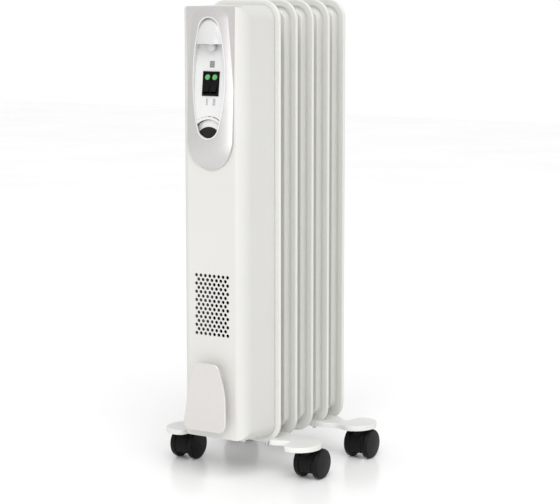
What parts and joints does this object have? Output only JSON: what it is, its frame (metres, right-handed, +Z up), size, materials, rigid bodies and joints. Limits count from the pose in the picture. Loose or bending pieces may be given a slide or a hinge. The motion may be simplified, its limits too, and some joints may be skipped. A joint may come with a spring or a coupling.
{
  "type": "oil filled radiator heater",
  "caption": "Oil filled radiator heater with pressed steel fins, a control housing with rocker switches and a thermostat dial, a cord hook, and winged feet on twin-wheel swivel casters.",
  "frame": {"origin": "middle of the bounding box at floor level", "axes": "+Z up, -Y towards the control panel's side, +X to the right as seen from the front"},
  "size_m": [0.236, 0.27, 0.62],
  "materials": {
    "paint": "satin off-white powder coat",
    "hook_plastic": "satin",
    "pearl": "pearl silver",
    "white_plastic": "semi-gloss",
    "black_plastic": "fine texture",
    "lens": "translucent green",
    "steel": "zinc plated",
    "brass": "turned",
    "gasket": "matte",
    "oil": "clear amber",
    "wire": "silicone insulation",
    "caster_black": "semi-gloss"
  },
  "bodies": {
    "frame": {"fin_1_front": "paint", "fin_1_rear": "paint", "fin_2_front": "paint", "fin_2_rear": "paint", "fin_3_front": "paint", "fin_3_rear": "paint", "fin_4_front": "paint", "fin_4_rear": "paint", "fin_5_front": "paint", "fin_5_rear": "paint", "housing_shell": "paint", "front_foot": "paint", "rear_foot": "paint", "header_caps": "paint", "header_collars": "paint", "cord_hook": "hook_plastic", "surround": "pearl", "fascia": "white_plastic", "visor": "white_plastic", "switch_body": "black_plastic", "thermostat_body": "black_plastic", "terminal_block": "black_plastic", "cord_gland": "black_plastic", "thermal_cutout": "black_plastic", "heat_shield": "steel", "housing_brackets": "steel", "housing_screws": "steel", "u_bolts": "steel", "wing_nuts": "steel", "caster_stems": "steel", "caster_sockets": "steel", "heating_elements": "steel", "filler_plug": "steel", "element_plug": "brass", "element_gasket": "gasket", "oil_charge": "oil", "internal_wires": "wire"},
    "caster_front_left": {"hood_front_left": "caster_black", "axle_front_left": "steel"},
    "caster_front_left_wheel_a": {"wheel_front_left_a": "caster_black"},
    "caster_front_left_wheel_b": {"wheel_front_left_b": "caster_black"},
    "caster_front_right": {"hood_front_right": "caster_black", "axle_front_right": "steel"},
    "caster_front_right_wheel_a": {"wheel_front_right_a": "caster_black"},
    "caster_front_right_wheel_b": {"wheel_front_right_b": "caster_black"},
    "caster_rear_left": {"hood_rear_left": "caster_black", "axle_rear_left": "steel"},
    "caster_rear_left_wheel_a": {"wheel_rear_left_a": "caster_black"},
    "caster_rear_left_wheel_b": {"wheel_rear_left_b": "caster_black"},
    "caster_rear_right": {"hood_rear_right": "caster_black", "axle_rear_right": "steel"},
    "caster_rear_right_wheel_a": {"wheel_rear_right_a": "caster_black"},
    "caster_rear_right_wheel_b": {"wheel_rear_right_b": "caster_black"},
    "rocker_left": {"rocker_left": "black_plastic", "rocker_lens_left": "lens"},
    "rocker_right": {"rocker_right": "black_plastic", "rocker_lens_right": "lens"},
    "dial": {"dial_skirt": "pearl", "dial_cap": "black_plastic", "dial_shaft": "steel"}
  },
  "joints": [
    {"name": "caster_front_left_swivel", "type": "hinge", "parent": "frame", "child": "caster_front_left", "pos_m": [-0.099, -0.037, 0.032], "axis": [0, 0, 1], "continuous": true},
    {"name": "caster_front_left_wheel_a_roll", "type": "hinge", "parent": "caster_front_left", "child": "caster_front_left_wheel_a", "pos_m": [-0.113, -0.029, 0.02], "axis": [1, 0, 0], "continuous": true},
    {"name": "caster_front_left_wheel_b_roll", "type": "hinge", "parent": "caster_front_left", "child": "caster_front_left_wheel_b", "pos_m": [-0.085, -0.029, 0.02], "axis": [1, 0, 0], "continuous": true},
    {"name": "caster_front_right_swivel", "type": "hinge", "parent": "frame", "child": "caster_front_right", "pos_m": [0.099, -0.037, 0.032], "axis": [0, 0, 1], "continuous": true},
    {"name": "caster_front_right_wheel_a_roll", "type": "hinge", "parent": "caster_front_right", "child": "caster_front_right_wheel_a", "pos_m": [0.085, -0.029, 0.02], "axis": [1, 0, 0], "continuous": true},
    {"name": "caster_front_right_wheel_b_roll", "type": "hinge", "parent": "caster_front_right", "child": "caster_front_right_wheel_b", "pos_m": [0.113, -0.029, 0.02], "axis": [1, 0, 0], "continuous": true},
    {"name": "caster_rear_left_swivel", "type": "hinge", "parent": "frame", "child": "caster_rear_left", "pos_m": [-0.099, 0.092, 0.032], "axis": [0, 0, 1], "continuous": true},
    {"name": "caster_rear_left_wheel_a_roll", "type": "hinge", "parent": "caster_rear_left", "child": "caster_rear_left_wheel_a", "pos_m": [-0.113, 0.1, 0.02], "axis": [1, 0, 0], "continuous": true},
    {"name": "caster_rear_left_wheel_b_roll", "type": "hinge", "parent": "caster_rear_left", "child": "caster_rear_left_wheel_b", "pos_m": [-0.085, 0.1, 0.02], "axis": [1, 0, 0], "continuous": true},
    {"name": "caster_rear_right_swivel", "type": "hinge", "parent": "frame", "child": "caster_rear_right", "pos_m": [0.099, 0.092, 0.032], "axis": [0, 0, 1], "continuous": true},
    {"name": "caster_rear_right_wheel_a_roll", "type": "hinge", "parent": "caster_rear_right", "child": "caster_rear_right_wheel_a", "pos_m": [0.085, 0.1, 0.02], "axis": [1, 0, 0], "continuous": true},
    {"name": "caster_rear_right_wheel_b_roll", "type": "hinge", "parent": "caster_rear_right", "child": "caster_rear_right_wheel_b", "pos_m": [0.113, 0.1, 0.02], "axis": [1, 0, 0], "continuous": true},
    {"name": "rocker_left_press", "type": "hinge", "parent": "frame", "child": "rocker_left", "pos_m": [-0.0055, -0.11082, 0.51472], "axis": [1, 0, 0], "range_deg": [0, 20]},
    {"name": "rocker_right_press", "type": "hinge", "parent": "frame", "child": "rocker_right", "pos_m": [0.0055, -0.11082, 0.51472], "axis": [1, 0, 0], "range_deg": [0, 20]},
    {"name": "thermostat_turn", "type": "hinge", "parent": "frame", "child": "dial", "pos_m": [0, -0.115, 0.4416], "axis": [0, 1, 0], "range_deg": [0, 270]}
  ]
}
